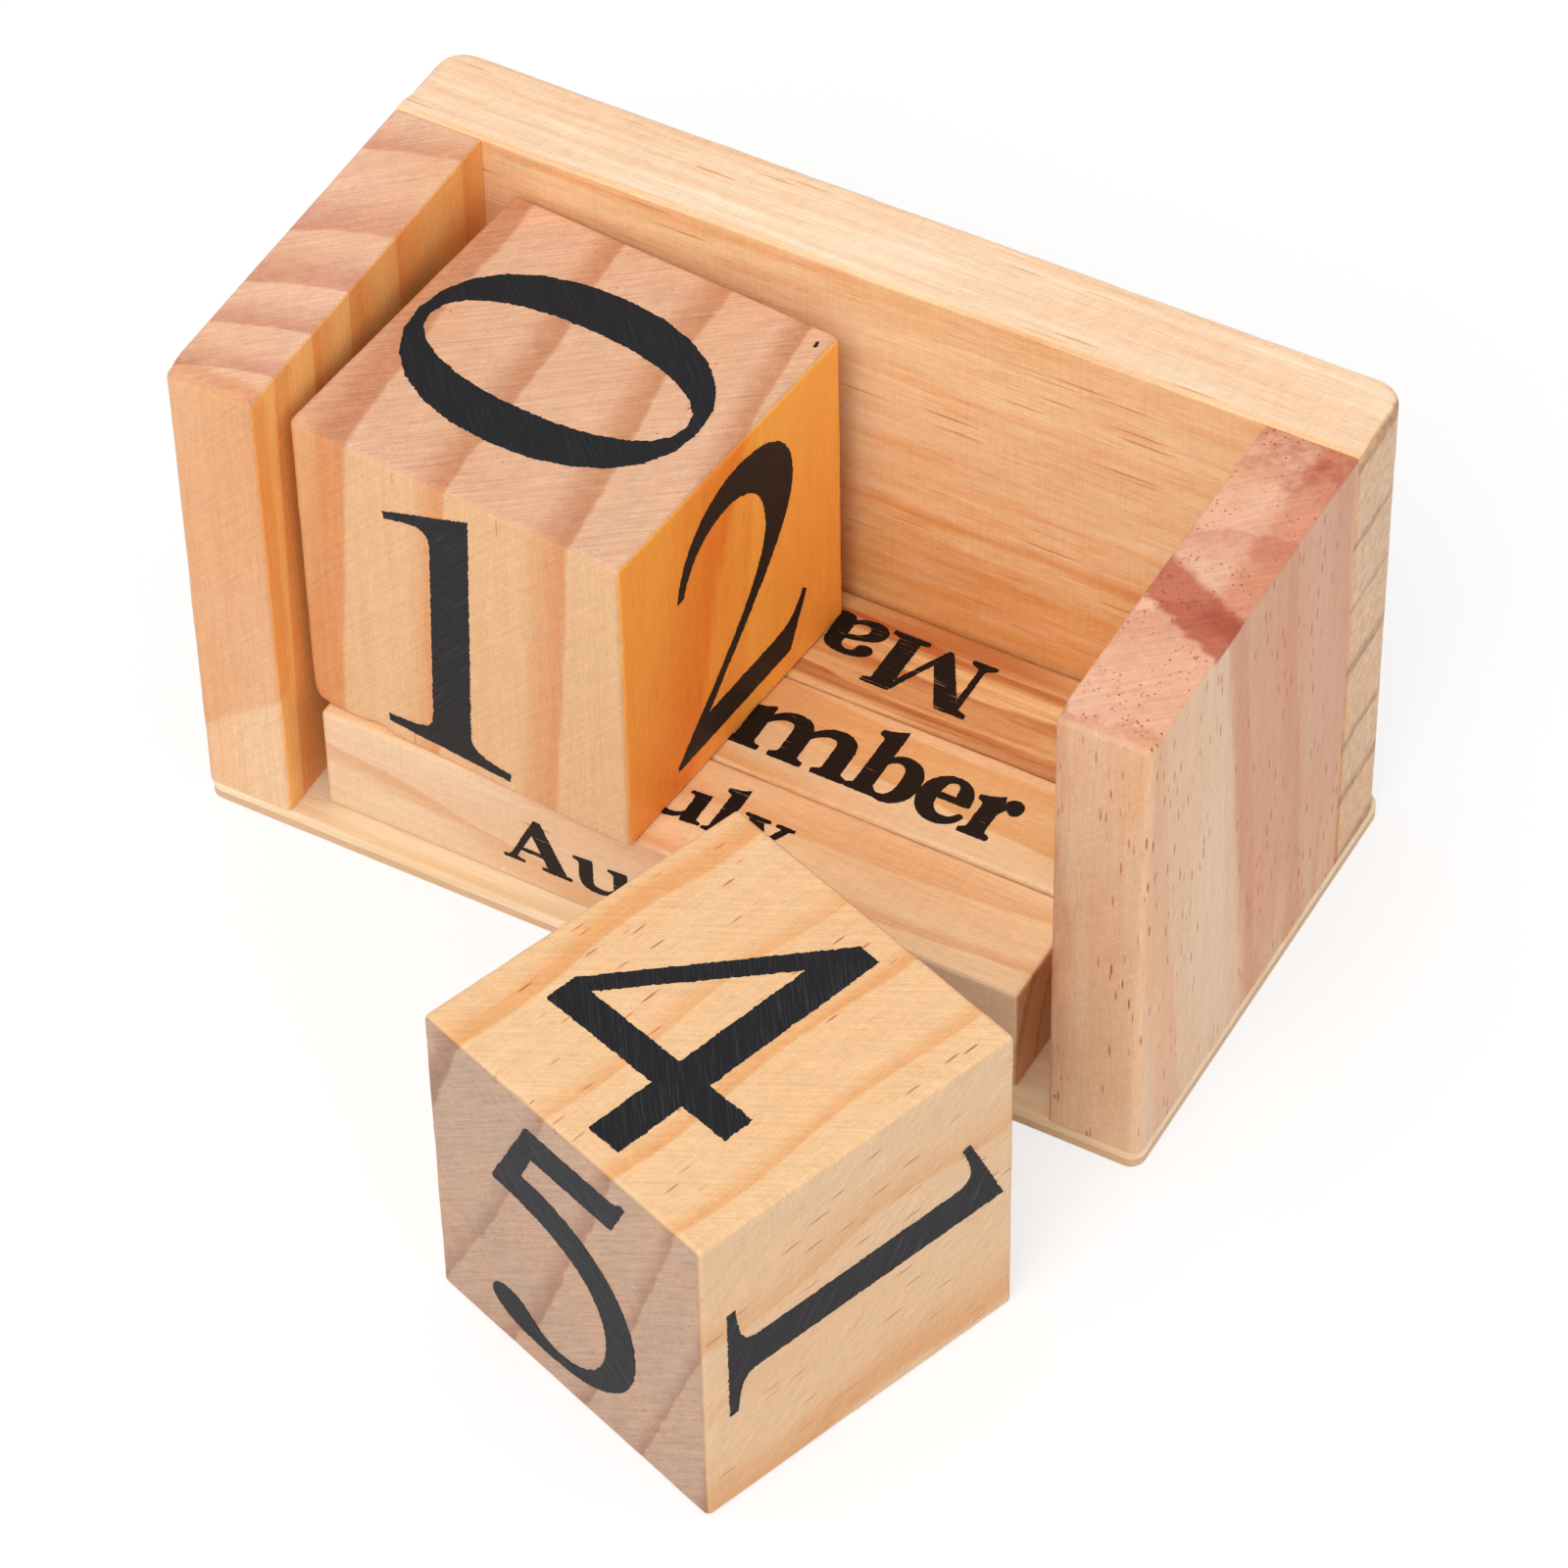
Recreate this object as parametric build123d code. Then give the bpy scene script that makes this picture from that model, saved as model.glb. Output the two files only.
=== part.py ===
from build123d import *
import os

# Wooden block calendar: a small open-fronted tray holds three month bars and two day cubes.
# Millimetres. +X is to the viewer's right, +Y to the back, +Z up.
# The origin is the centre of the base board's underside.

# Driving dimensions
CUBE = 40.0                 # edge of a day cube
BAR = 13.8                  # side of a month bar's square section
BAR_LENGTH = 82.2
TRAY_WIDTH = 110.4
TRAY_DEPTH = 56.3
TRAY_HEIGHT = 61.6
BASE_THICK = 2.4            # plywood; the upright boards are solid pine
BACK_THICK = 11.4
SIDE_THICK = 10.3

# Where the loose pieces lie in the tray and on the desk
BAR_SETBACK = 2.8           # front bar's front face at mid-length, behind the tray's front
BAR_PITCH = 14.0            # from one bar's middle to the next
BAR_SHIFT = -0.95           # bars' middle from the tray's middle, along X
BAR_TURNS = (-0.55, -0.35, -0.15)   # degrees about +Z, front bar first: none lies quite square
LEFT_CUBE_PLACE = (-22.4, -5.15)
LEFT_CUBE_TURN = -4.4
RIGHT_CUBE_PLACE = (26.2, -60.9)
RIGHT_CUBE_TURN = -19.5

# Rounded edges
CUBE_EDGE = 0.6
BAR_EDGE = 0.5
BASE_CORNER = 1.6
BASE_ARRIS = 0.4
BACK_CORNER = 3.2           # the two rear upright edges
BACK_ARRIS = 0.9
SIDE_OUTER = 1.1            # front upright edge on the outside, and the top front edge
SIDE_INNER = 0.5
GLUE_LINE = 0.15            # the slight easing that shows where two glued boards meet

# Worked out from the driving dimensions
FRONT = -TRAY_DEPTH / 2
REAR = TRAY_DEPTH / 2
WALL = REAR - BACK_THICK            # the back board's front face
BOARD_HEIGHT = TRAY_HEIGHT - BASE_THICK
SIDE_DEPTH = TRAY_DEPTH - BACK_THICK
BAR_TOP = BASE_THICK + BAR


def block(low, size):
    """A rectangular block, from its lowest corner."""
    return Pos(*low) * Box(*size, align=(Align.MIN, Align.MIN, Align.MIN))


def edges_near(solid, axis, along, value):
    """The straight edges parallel to one axis whose middle lies at a value of another."""
    return solid.edges().filter_by(axis).filter_by_position(along, value - 0.01, value + 0.01)


def sharp_edges(solid):
    """The straight edges that still meet at a right angle."""
    found = []
    for edge in solid.edges().filter_by(GeomType.LINE):
        faces = [face for face in solid.faces() if edge in face.edges()]
        flat = all(face.geom_type == GeomType.PLANE for face in faces)
        if flat and len(faces) == 2:
            found.append(edge)
    return found


def base_board():
    board = block((-TRAY_WIDTH / 2, FRONT, 0), (TRAY_WIDTH, TRAY_DEPTH, BASE_THICK))
    board = fillet(board.edges().filter_by(Axis.Z), BASE_CORNER)
    rims = board.edges().group_by(Axis.Z)[0] + board.edges().group_by(Axis.Z)[-1]
    return fillet(rims, BASE_ARRIS)


def back_board():
    board = block((-TRAY_WIDTH / 2, WALL, BASE_THICK), (TRAY_WIDTH, BACK_THICK, BOARD_HEIGHT))
    board = fillet(edges_near(board, Axis.Z, Axis.Y, REAR), BACK_CORNER)
    top_rim = board.edges().group_by(Axis.Z)[-1]
    rear_rim = [edge for edge in top_rim if edge.center().Y > WALL + 0.01]
    board = fillet(rear_rim, BACK_ARRIS)
    return fillet(sharp_edges(board), GLUE_LINE)


def side_board(outer):
    """One side of the tray. outer is -1 for the left side and +1 for the right side."""
    outside = outer * TRAY_WIDTH / 2
    inside = outer * (TRAY_WIDTH / 2 - SIDE_THICK)
    low = (min(outside, inside), FRONT, BASE_THICK)
    board = block(low, (SIDE_THICK, SIDE_DEPTH, BOARD_HEIGHT))
    front = board.faces().sort_by(Axis.Y)[0]
    front_outer = [edge for edge in front.edges() if abs(edge.center().X - outside) < 0.01]
    front_top = front.edges().sort_by(Axis.Z)[-1]
    front_inner = [edge for edge in front.edges() if abs(edge.center().X - inside) < 0.01]
    board = fillet(front_outer + [front_top], SIDE_OUTER)
    inner_edge = [
        edge for edge in board.edges().filter_by(Axis.Z)
        if (edge.center() - front_inner[0].center()).length < SIDE_OUTER
    ]
    board = fillet(inner_edge, SIDE_INNER)
    return fillet(sharp_edges(board), GLUE_LINE)


def month_bar(place):
    """One month bar. place counts from the front of the tray, from 0."""
    middle = FRONT + BAR_SETBACK + BAR / 2 + place * BAR_PITCH
    bar = fillet(Box(BAR_LENGTH, BAR, BAR).edges(), BAR_EDGE)
    return Pos(BAR_SHIFT, middle, BASE_THICK + BAR / 2) * Rot(0, 0, BAR_TURNS[place]) * bar


def day_cube(place, turn, floor):
    """One day cube, turned about its own upright axis, standing at the height floor."""
    cube = fillet(Box(CUBE, CUBE, CUBE).edges(), CUBE_EDGE)
    return Pos(place[0], place[1], floor + CUBE / 2) * Rot(0, 0, turn) * cube


def main():
    pieces = {
        "base_board": base_board(),
        "back_board": back_board(),
        "left_side": side_board(-1),
        "right_side": side_board(1),
        "month_bar_front": month_bar(0),
        "month_bar_middle": month_bar(1),
        "month_bar_back": month_bar(2),
        "left_day_cube": day_cube(LEFT_CUBE_PLACE, LEFT_CUBE_TURN, BAR_TOP),
        "right_day_cube": day_cube(RIGHT_CUBE_PLACE, RIGHT_CUBE_TURN, 0),
    }
    os.makedirs("parts", exist_ok=True)
    for name, piece in pieces.items():
        export_step(piece, f"parts/{name}.step")


main()
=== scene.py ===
"""Looks for the wooden block calendar: worn pine boards, day cubes and month bars with printed ink."""
import math
import re
from dataclasses import dataclass, field

import bpy
import numpy as np
from mathutils import Matrix, Vector, geometry


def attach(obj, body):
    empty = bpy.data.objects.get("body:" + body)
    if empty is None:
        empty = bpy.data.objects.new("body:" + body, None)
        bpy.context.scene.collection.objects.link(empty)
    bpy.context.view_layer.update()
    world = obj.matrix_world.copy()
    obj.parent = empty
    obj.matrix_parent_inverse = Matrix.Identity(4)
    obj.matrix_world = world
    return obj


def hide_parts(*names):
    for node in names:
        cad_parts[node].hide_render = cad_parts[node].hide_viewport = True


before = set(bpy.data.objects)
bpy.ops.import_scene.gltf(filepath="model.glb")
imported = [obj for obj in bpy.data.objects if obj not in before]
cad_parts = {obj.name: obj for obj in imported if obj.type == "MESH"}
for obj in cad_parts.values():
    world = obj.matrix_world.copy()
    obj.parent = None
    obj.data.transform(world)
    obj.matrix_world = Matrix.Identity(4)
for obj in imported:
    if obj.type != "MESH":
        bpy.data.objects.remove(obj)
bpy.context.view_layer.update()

MM = 0.001
X, Y, Z = 0, 1, 2

# ---------------------------------------------------------------- measures, in millimetres
CUBE_ROUNDING = 0.65
BAR_ROUNDING = 0.55
BACK_CORNER = 3.2
BACK_RIM = 0.95
SIDE_ROUNDING = 1.1
TIGHT = 0.15                # rounding of edges that stand against another board
PLY_CORNER = 1.6
PLY_RIM = 0.4
PLY_JOINTS = (-0.9, 0.2)    # heights of the two glue lines in the base board, from its middle
INK_LIFT = 0.045            # top of the ink film above the wood
INK_SINK = 0.02             # how far the film reaches into the wood
ROUND_STEPS = (0, 0.22, 0.45, 0.7, 1.0, 1.3)    # grid lines over a rounded edge, as shares of its radius
WHOLE = 1.4                 # a mask's share that stays full however ragged its edge


# ---------------------------------------------------------------- small numeric helpers
def ripple(points, wavelength, seed, waves=8):
    """A smooth repeatable random field of about -1 to 1, made of a few sine waves."""
    draw = np.random.default_rng(seed)
    directions = draw.normal(size=(waves, 3))
    directions /= np.linalg.norm(directions, axis=1)[:, None]
    rates = 2 * math.pi / wavelength * draw.uniform(0.6, 1.7, waves)
    phases = draw.uniform(0, 2 * math.pi, waves)
    return np.sin(points @ (directions * rates[:, None]).T + phases).sum(axis=1) / math.sqrt(waves)


def smoothstep(low, high, value):
    t = np.clip((value - low) / (high - low), 0, 1)
    return t * t * (3 - 2 * t)


def turned(points, angle):
    """Points turned about the upright axis."""
    c, s = math.cos(angle), math.sin(angle)
    out = np.array(points, float)
    out[:, 0] = c * points[:, 0] - s * points[:, 1]
    out[:, 1] = s * points[:, 0] + c * points[:, 1]
    return out


# ---------------------------------------------------------------- where each CAD block stands
class Place:
    """A CAD block's middle, its turn about Z and its half sizes, in millimetres and radians."""

    def __init__(self, node):
        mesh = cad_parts[node].data
        corners = np.zeros(len(mesh.vertices) * 3)
        mesh.vertices.foreach_get("co", corners)
        corners = corners.reshape(-1, 3) / MM
        swirl = 0j
        for polygon in mesh.polygons:
            if abs(polygon.normal.z) < 0.1:
                heading = math.atan2(polygon.normal.y, polygon.normal.x)
                swirl += polygon.area * complex(math.cos(4 * heading), math.sin(4 * heading))
        self.turn = math.atan2(swirl.imag, swirl.real) / 4
        level = turned(corners, -self.turn)
        low, high = level.min(axis=0), level.max(axis=0)
        self.half = (high - low) / 2
        self.middle = turned(((low + high) / 2)[None], self.turn)[0]

    def to_world(self, points):
        """Block coordinates in millimetres to the frame's metres."""
        return (turned(np.asarray(points, float), self.turn) + self.middle) * MM


# ---------------------------------------------------------------- worn block meshes
@dataclass
class Shape:
    """How a block's edges are worn, in millimetres."""
    rim: float                              # rounding round the top
    rim_front: float = None                 # rounding of the top's front edge, where it differs
    foot: float = None                      # rounding round the underside
    corner: dict = field(default_factory=dict)      # upright edges, by the signs of x and y
    wear: float = 0.1                       # how far the rounding varies along an edge
    step: float = 0.9
    seed: int = 1
    nicks: tuple = ()                       # (place, size, depth) of each small hollow

    def radii(self, axis):
        """The roundings that the grid lines across an axis have to follow."""
        kept = [self.rim, self.rim_front, self.foot]
        if axis != Z:
            kept += self.corner.values()
        return {radius for radius in kept if radius}


def stations(half, radii, step):
    """Grid positions from -half to half, close together over the rounded edges."""
    insets = {round(radius * share, 4) for radius in radii for share in ROUND_STEPS}
    edge = []
    for inset in sorted(insets):
        if not edge or inset - edge[-1] > 0.04:
            edge.append(inset)
    edge = half - np.array([inset for inset in edge if inset < 0.8 * half])
    count = max(2, int(round(2 * edge[-1] / step)))
    middle = np.linspace(-edge[-1], edge[-1], count + 1)[1:-1]
    return np.concatenate([-edge, middle, edge[::-1]])


def lattice(half, shape):
    """The surface of a box as a grid of points and outward quads."""
    lines = [stations(half[axis], shape.radii(axis), shape.step) for axis in range(3)]
    shell = np.ones([len(line) for line in lines], bool)
    shell[1:-1, 1:-1, 1:-1] = False
    numbers = -np.ones(shell.shape, int)
    numbers[shell] = np.arange(shell.sum())
    places = np.argwhere(shell)
    points = np.stack([lines[axis][places[:, axis]] for axis in range(3)], axis=1)
    quads = []
    for axis in range(3):
        for side in (0, -1):
            sheet = numbers.take(side, axis=axis)
            if axis == Y:
                sheet = sheet.T
            loop = [sheet[:-1, :-1], sheet[1:, :-1], sheet[1:, 1:], sheet[:-1, 1:]]
            if side == 0:
                loop.reverse()
            quads.append(np.stack([part.ravel() for part in loop], axis=1))
    return points, np.concatenate(quads)


def quarter_circle(first, second):
    """Pulls a square corner in to a quarter circle. Both are distances past the flat part."""
    both = (first > 0) & (second > 0)
    length = np.maximum(np.hypot(first, second), 1e-9)
    scale = np.where(both, np.maximum(first, second) / length, 1)
    return first * scale, second * scale


def round_uprights(points, half, radius):
    """Rounds the four upright edges. radius holds one value per point."""
    size = np.abs(points[:, :2])
    inner = half[:2][None] - radius[:, None]
    past = np.maximum(size - inner, 0)
    past_x, past_y = quarter_circle(past[:, 0], past[:, 1])
    kept = np.minimum(size, inner) + np.stack([past_x, past_y], axis=1)
    points[:, :2] = np.sign(points[:, :2]) * kept


def round_rims(points, half, corner, radius):
    """Rounds the edges of the top and the underside, once the upright edges are round."""
    size = np.abs(points[:, :2])
    past = size - (half[:2][None] - corner[:, None])
    in_corner = (past > 0).all(axis=1)
    length = np.maximum(np.hypot(past[:, 0], past[:, 1]), 1e-9)
    gap = half[:2][None] - size
    inset = np.where(in_corner, corner - length, gap.min(axis=1))
    outward = np.zeros_like(size)
    outward[np.arange(len(size)), gap.argmin(axis=1)] = 1
    outward[in_corner] = past[in_corner] / length[in_corner, None]
    depth = half[Z] - np.abs(points[:, Z])
    across, down = quarter_circle(np.maximum(radius - inset, 0), np.maximum(radius - depth, 0))
    near = (inset < radius) & (depth < radius)
    shift = np.where(near, radius - across - inset, 0)
    points[:, :2] -= np.sign(points[:, :2]) * outward * shift[:, None]
    height = np.where(near, half[Z] - (radius - down), np.abs(points[:, Z]))
    points[:, Z] = np.sign(points[:, Z]) * height


def press(points, where, size, depth):
    """Presses a small hollow into the surface, towards the block's middle."""
    where = np.array(where, float)
    gap = (points - where) / np.array(size, float)
    share = np.exp(-1.5 * (gap ** 2).sum(axis=1))
    points -= share[:, None] * where / np.linalg.norm(where) * depth


def block_points(half, shape):
    """A worn block's points and quads, in block coordinates."""
    points, quads = lattice(half, shape)
    wear = shape.wear * (0.6 * ripple(points, 14.0, shape.seed) + 0.5 * ripple(points, 4.0, shape.seed + 50))
    corner = np.full(len(points), shape.rim)
    for (sign_x, sign_y), radius in shape.corner.items():
        corner[(np.sign(points[:, X]) == sign_x) & (np.sign(points[:, Y]) == sign_y)] = radius
    rim = np.full(len(points), shape.rim)
    if shape.rim_front is not None:
        forward = smoothstep(3.0, 1.5, points[:, Y] + half[Y])
        rim += (shape.rim_front - shape.rim) * forward
    if shape.foot is not None:
        rim[points[:, Z] < 0] = shape.foot
    corner = np.maximum(corner + wear * np.minimum(corner, 1), 0.5 * corner)
    rim = np.maximum(rim + wear * np.minimum(rim, 1), 0.5 * rim)
    round_uprights(points, half, corner)
    round_rims(points, half, corner, rim)
    for where, size, depth in shape.nicks:
        press(points, where, size, depth)
    return points, quads


def mesh_object(name, points, faces):
    mesh = bpy.data.meshes.new(name)
    mesh.from_pydata(np.asarray(points, float).tolist(), [], [[int(i) for i in face] for face in faces])
    mesh.update()
    piece = bpy.data.objects.new(name, mesh)
    bpy.context.scene.collection.objects.link(piece)
    return piece


def put_attribute(piece, name, values):
    """Stores one number or one vector per point, for a material to read."""
    values = np.asarray(values, np.float32)
    vector = values.ndim == 2
    attribute = piece.data.attributes.new(name, "FLOAT_VECTOR" if vector else "FLOAT", "POINT")
    attribute.data.foreach_set("vector" if vector else "value", values.ravel())


def wooden_block(node, body, shape, grain, material, rings=None, tone_and_light=None, patch_and_shade=None, lean=(0, 0)):
    """One board, bar or cube: its worn shape, and the grain that its material reads.

    grain is the axis that the fibres follow, and lean how far they stray from it along the other two.
    rings and the two masks after it work out a value for each point from its block coordinates: growth rings
    counted from a start, and shares of 0 to 1. The masks give tones and patches, and on some faces painted
    light and shade.
    """
    place = Place(node)
    points, quads = block_points(place.half, shape)
    piece = mesh_object(node + "_wood", place.to_world(points), quads)
    piece.data.shade_smooth()
    across = [axis for axis in range(3) if axis != grain]
    fibre = points[:, [grain, *across]]
    fibre[:, 1:] -= fibre[:, :1] * np.array(lean, float)
    put_attribute(piece, "fibre", fibre)
    normals = np.zeros(len(points) * 3, np.float32)
    piece.data.vertices.foreach_get("normal", normals)
    level = turned(normals.reshape(-1, 3), -place.turn)
    put_attribute(piece, "endgrain", smoothstep(0.5, 0.9, np.abs(level[:, grain])))
    x, y, z = points.T
    for name, rule in (("ring", rings), ("tone_and_light", tone_and_light), ("patch_and_shade", patch_and_shade)):
        put_attribute(piece, name, rule(x, y, z) if rule else np.zeros(len(points)))
    piece.data.materials.append(material)
    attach(piece, body)
    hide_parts(node)
    return place


def ring_count(distance, edges):
    """Growth rings passed at a distance. edges are the distances of the rings' sharp dark edges."""
    edges = np.asarray(edges, float)
    pitch = (edges[-1] - edges[0]) / (len(edges) - 1)
    before = edges[0] - pitch * np.arange(6, 0, -1)
    after = edges[-1] + pitch * np.arange(1, 7)
    everything = np.concatenate([before, edges, after])
    return np.interp(distance, everything, np.arange(len(everything)))


# ---------------------------------------------------------------- node trees
def colour(red, green, blue):
    """A colour given as 0-255 display values, as linear RGBA."""
    def linear(value):
        value /= 255
        return value / 12.92 if value <= 0.04045 else ((value + 0.055) / 1.055) ** 2.4
    return (linear(red), linear(green), linear(blue), 1.0)


class Tree:
    """A short way to write a material's node tree."""

    def __init__(self, name):
        self.material = bpy.data.materials.new(name)
        self.material.use_nodes = True
        self.nodes = self.material.node_tree.nodes
        self.links = self.material.node_tree.links
        self.nodes.clear()

    def feed(self, socket, value):
        if isinstance(value, bpy.types.NodeSocket):
            self.links.new(value, socket)
        elif value is not None:
            socket.default_value = value

    def node(self, kind, inputs=(), **settings):
        """Adds a node. inputs holds its values or sockets in order, or by name."""
        node = self.nodes.new(kind)
        for key, value in settings.items():
            setattr(node, key, value)
        pairs = inputs.items() if isinstance(inputs, dict) else enumerate(inputs)
        for key, value in pairs:
            self.feed(node.inputs[key], value)
        return node

    def maths(self, operation, *values):
        return self.node("ShaderNodeMath", values, operation=operation).outputs[0]

    def centred(self, value, amount, base):
        """base with a texture of 0 to 1 added, swinging evenly either side by half the amount."""
        return self.maths("MULTIPLY_ADD", self.maths("SUBTRACT", value, 0.5), amount, base)

    def luck(self, number):
        return self.node("ShaderNodeTexWhiteNoise", {"W": number}, noise_dimensions="1D").outputs[0]

    def vector(self, operation, first, second):
        return self.node("ShaderNodeVectorMath", (first, second), operation=operation).outputs[0]

    def noise(self, vector, rates, detail=2.0, rough=0.5):
        """Noise from 0 to 1 that changes at its own rate along each axis, per millimetre."""
        inputs = {"Vector": self.vector("MULTIPLY", vector, rates), "Scale": 1.0, "Detail": detail,
                  "Roughness": rough}
        return self.node("ShaderNodeTexNoise", inputs).outputs[0]

    def streaks(self, fibre, along, across, detail=2.0, rough=0.5):
        """Noise drawn out along the fibres."""
        return self.noise(fibre, (along, across, across), detail, rough)

    def step(self, value, low, high):
        """0 below low, 1 above high, smooth between."""
        inputs = {"Value": value, "From Min": low, "From Max": high}
        return self.node("ShaderNodeMapRange", inputs, interpolation_type="SMOOTHSTEP").outputs[0]

    def mix(self, share, first, second, blend="MIX", free=False):
        """Mixes two colours. free lets the share run past 0 and 1, to lighter and darker than either."""
        node = self.node("ShaderNodeMix", {0: share, 6: first, 7: second}, data_type="RGBA", blend_type=blend,
                         clamp_factor=not free, clamp_result=free)
        return node.outputs[2]

    def grey(self, level):
        return self.node("ShaderNodeCombineXYZ", (level, level, level)).outputs[0]

    def attribute(self, name, output="Fac"):
        return self.node("ShaderNodeAttribute", attribute_name=name).outputs[output]

    def bump(self, height, strength, distance, normal=None):
        inputs = {"Height": height, "Strength": strength, "Distance": distance, "Normal": normal}
        return self.node("ShaderNodeBump", inputs).outputs[0]


# ---------------------------------------------------------------- pine
@dataclass
class Look:
    """The figure and colour of one piece of pine."""
    light: tuple                    # the paler wood of each ring, on faces along the grain
    dark: tuple                     # the darker wood there
    end_light: tuple                # the same two on end grain
    end_dark: tuple
    late: float = 0.55              # where in a ring the darker wood begins, as a share
    soft: float = 0.35              # over what share of a ring it darkens
    contrast: float = 1.0
    end_boost: float = 1.0          # how far the rings stand out over the streaks on end grain
    wander: float = 0.12            # how far the rings stray from true, in rings
    fray: float = 0.08              # how ragged their edges are, in rings
    bands: float = 0.7              # strength of the broad streaks along the fibres
    streaks: float = 0.9            # strength of the fine ones
    tint: tuple = (232, 160, 96)    # broad patches of another colour
    tint_share: float = 0.3
    ducts: float = 0.06             # share of resin ducts that show
    duct_colour: tuple = (150, 72, 42)
    duct_length: float = 9.0
    duct_width: float = 0.5
    saw: float = 0.35               # strength of the slanting saw marks
    chatter: float = 0.16           # strength of the fine marks across the grain
    tone_and_light: tuple = (214, 142, 118)  # this colour and the next multiply the wood's colour, so over 255 lightens it; they give tones and patches, and on some faces painted light and shade
    patch_and_shade: tuple = (168, 84, 66)
    seed: float = 0.0
    gloss: float = 0.45             # roughness of the varnish


def ring_shade(tree, look, fibre):
    """0 in the pale wood of each growth ring, up to 1 in its dark rim."""
    slow = tree.streaks(fibre, 0.012, 0.05, 2.0)
    quick = tree.streaks(fibre, 0.04, 0.4, 3.0)
    count = tree.centred(slow, look.wander * 2, tree.attribute("ring"))
    count = tree.centred(quick, look.fray, count)
    within = tree.maths("FRACT", count)
    luck = tree.luck(tree.maths("ADD", tree.maths("FLOOR", count), look.seed))
    start = tree.maths("MULTIPLY_ADD", luck, 0.2, look.late - 0.1)
    rise = tree.step(within, start, tree.maths("ADD", start, look.soft))
    fall = tree.step(within, 1.0, 0.95)
    fine = tree.noise(count, (17, 17, 17), 3.0)
    return tree.centred(fine, 0.4, tree.maths("MULTIPLY", rise, fall))


def duct_marks(tree, look, fibre):
    """The short dark marks that resin ducts leave: ticks along the grain and dots on its ends."""
    size = (1 / look.duct_length, 1 / look.duct_width, 1 / look.duct_width)
    cells = tree.node("ShaderNodeTexVoronoi", {"Vector": tree.vector("MULTIPLY", fibre, size), "Scale": 1.0})
    core = tree.step(cells.outputs["Distance"], 0.30, 0.14)
    luck = tree.node("ShaderNodeTexWhiteNoise", {"Vector": cells.outputs["Position"]}, noise_dimensions="3D")
    chosen = tree.step(luck.outputs[0], 1.0 - look.ducts, 1.0 - look.ducts * 0.5)
    patches = tree.streaks(fibre, 0.03, 0.12, 1.0)
    return tree.maths("MULTIPLY", tree.maths("MULTIPLY", core, chosen), tree.step(patches, 0.35, 0.55))


def slant_marks(tree, fibre, endgrain):
    """Fine slanting scratches left by the saw and the sander, on every face."""
    along, left, right = tree.node("ShaderNodeSeparateXYZ", (fibre,)).outputs
    side = tree.maths("ADD", left, right)
    first = tree.maths("MULTIPLY_ADD", tree.maths("SUBTRACT", left, along), endgrain, along)
    second = tree.maths("MULTIPLY_ADD", tree.maths("SUBTRACT", right, side), endgrain, side)
    plane = tree.node("ShaderNodeCombineXYZ", (first, second)).outputs[0]
    tilted = tree.node("ShaderNodeVectorRotate", {"Vector": plane, "Angle": math.radians(-42)}).outputs[0]
    broad = tree.noise(tilted, (0.08, 2.2, 1.0), 4.0, 0.75)
    narrow = tree.noise(tilted, (0.3, 7.0, 1.0), 3.0, 0.7)
    return tree.centred(narrow, 0.8, broad)


def varnish(tree, look, base, fibre, relief, marks):
    """Finishes a wood tree: a satin surface with the grain standing in light relief."""
    normal = tree.bump(relief, 0.5, 0.12 * MM)
    normal = tree.bump(tree.maths("SUBTRACT", 1.0, marks), 0.15, 0.1 * MM, normal)
    patches = tree.streaks(fibre, 0.2, 0.9, 3.0)
    shader = tree.node("ShaderNodeBsdfPrincipled", {
        "Base Color": base, "Roughness": tree.centred(patches, 0.2, look.gloss), "Normal": normal,
        "IOR": 1.45, "Coat Weight": 0.1, "Coat Roughness": 0.35,
    })
    tree.node("ShaderNodeOutputMaterial", {"Surface": shader.outputs[0]})
    return tree.material


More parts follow.
